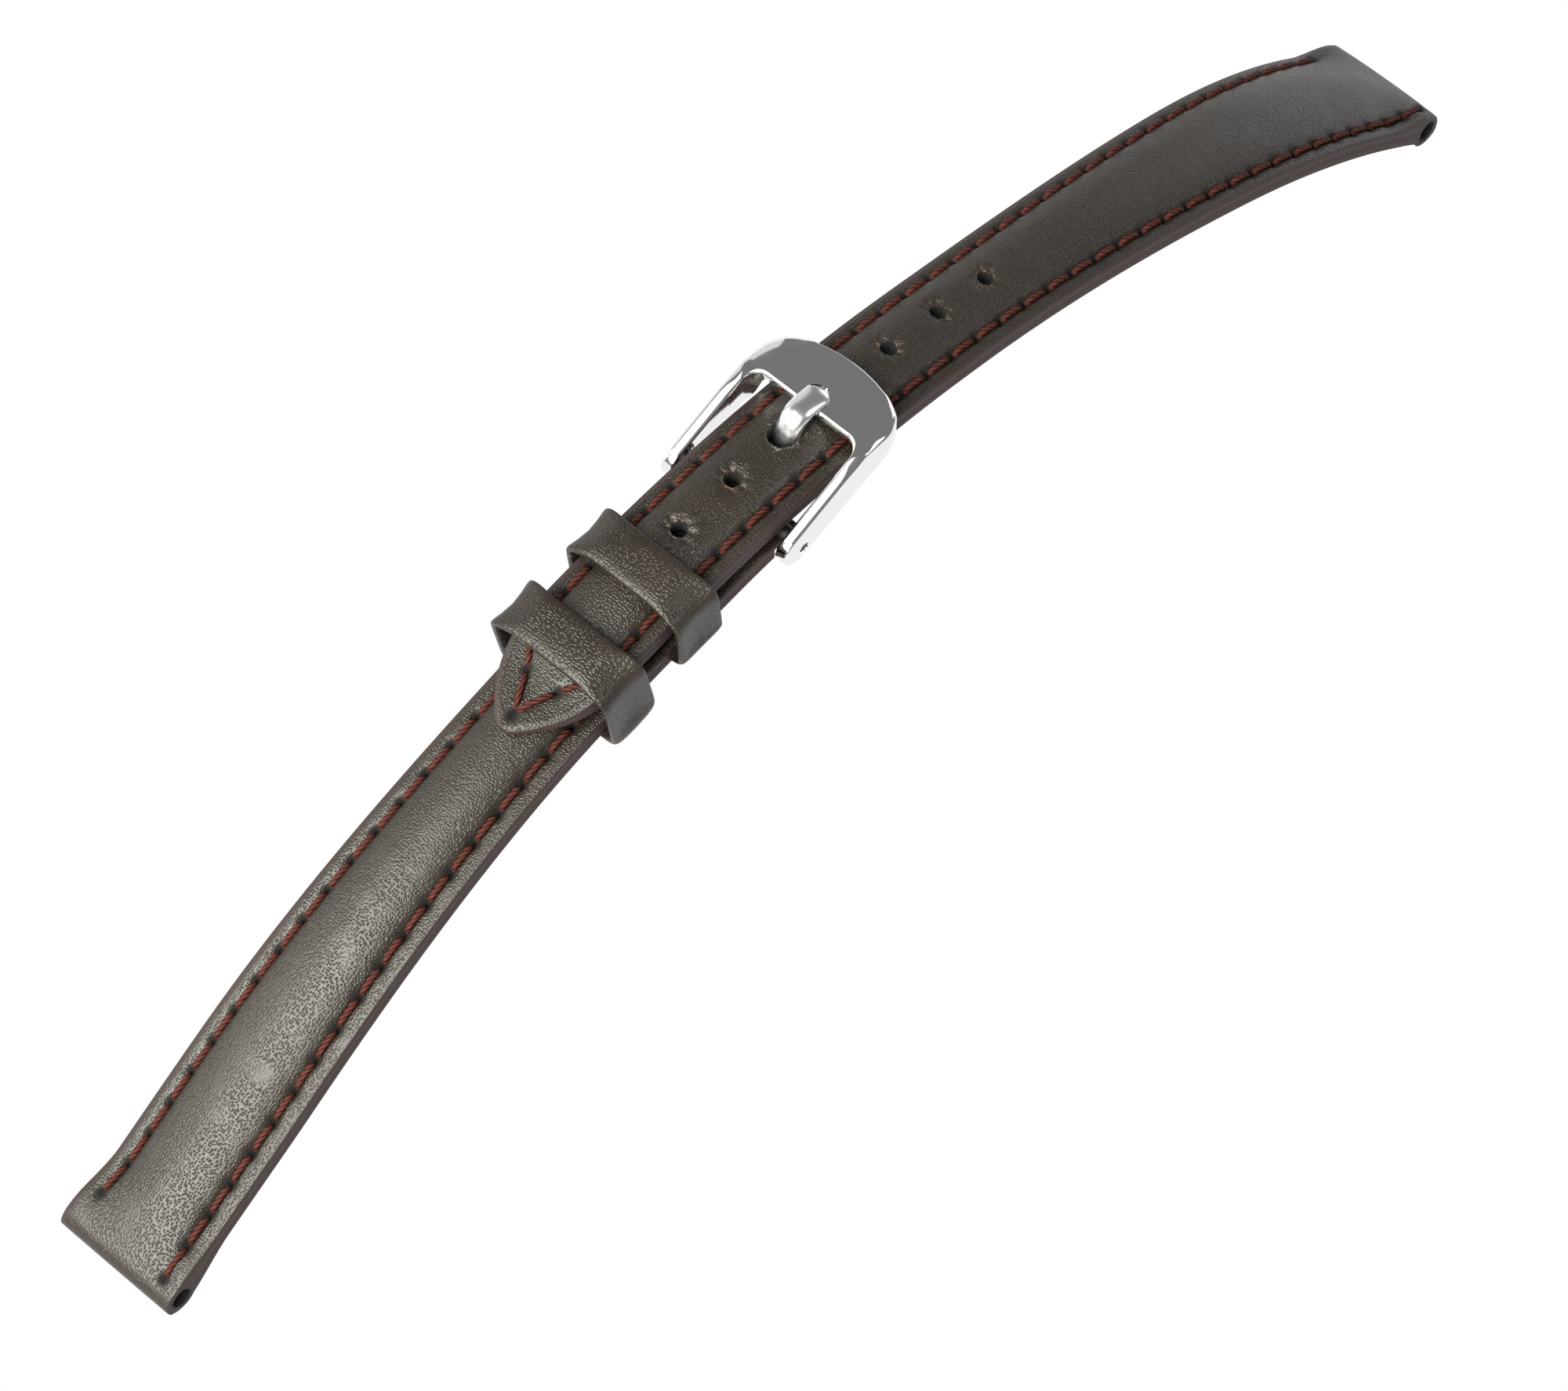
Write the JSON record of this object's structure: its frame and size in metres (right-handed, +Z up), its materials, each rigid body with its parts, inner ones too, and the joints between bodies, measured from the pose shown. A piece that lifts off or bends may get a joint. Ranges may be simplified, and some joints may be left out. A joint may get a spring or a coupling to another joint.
{
  "type": "watch strap",
  "caption": "Padded brown leather watch strap, buckled in an arch: stitched tapering pieces with rolled lug ends, pointed tail, punched holes, keepers and a steel pin buckle on a spring bar.",
  "frame": {"origin": "Midway between the two lug bores, on the plane that the two rolled lug ends stand on, at mid width", "axes": "+X along the strap from the short piece's lug end to the long piece's lug end, +Y to the strap's left across its width, +Z up"},
  "size_m": [0.155, 0.0132, 0.0346],
  "materials": {
    "brown_leather": "semi-gloss smooth calf with fine pores",
    "lining_leather": "matt sueded lining leather",
    "felt_padding": "pressed felt",
    "woven_tape": "woven non-stretch tape",
    "fibre_board": "bonded leather fibre board",
    "stitching_thread": "waxed twisted thread",
    "polished_steel": "polished stainless steel",
    "bar_steel": "turned stainless steel"
  },
  "bodies": {
    "strap": {"short_top_leather": "brown_leather", "short_padding": "felt_padding", "short_reinforcement_tape": "woven_tape", "short_lining": "lining_leather", "short_upper_thread": "stitching_thread", "short_lower_thread": "stitching_thread", "long_top_leather": "brown_leather", "long_padding": "felt_padding", "long_reinforcement_tape": "woven_tape", "long_lining": "lining_leather", "long_upper_thread": "stitching_thread", "long_lower_thread": "stitching_thread", "fixed_keeper_cover": "brown_leather", "fixed_keeper_core": "fibre_board", "spring_bar_tube": "bar_steel", "spring_bar_spring": "bar_steel"},
    "free_keeper": {"free_keeper_cover": "brown_leather", "free_keeper_core": "fibre_board", "free_keeper_thread": "stitching_thread"},
    "buckle": {"buckle_frame": "polished_steel"},
    "tongue": {"buckle_tongue": "polished_steel"},
    "left_plunger": {"spring_bar_plunger_left": "bar_steel"},
    "right_plunger": {"spring_bar_plunger_right": "bar_steel"}
  },
  "joints": [
    {"name": "buckle_pivot", "type": "hinge", "parent": "strap", "child": "buckle", "pos_m": [-0.00555, 0, 0.02881], "axis": [0, -1, 0], "range_deg": [0, 2]},
    {"name": "tongue_pivot", "type": "hinge", "parent": "buckle", "child": "tongue", "pos_m": [-0.00555, 0, 0.02881], "axis": [0, -1, 0], "range_deg": [0, 3]},
    {"name": "free_keeper_slide", "type": "hinge", "parent": "strap", "child": "free_keeper", "pos_m": [-0.00658, 0, -0.06964], "axis": [0, 1, 0], "range_deg": [-11.7, 1.8]},
    {"name": "left_plunger_slide", "type": "slide", "parent": "strap", "child": "left_plunger", "axis": [0, -1, 0], "range_m": [0, 0.001], "stiffness_N_per_m": 300, "springref_m": -0.001, "deforming": ["spring_bar_spring"]},
    {"name": "right_plunger_slide", "type": "slide", "parent": "strap", "child": "right_plunger", "axis": [0, 1, 0], "range_m": [0, 0.001], "stiffness_N_per_m": 300, "springref_m": -0.001}
  ]
}
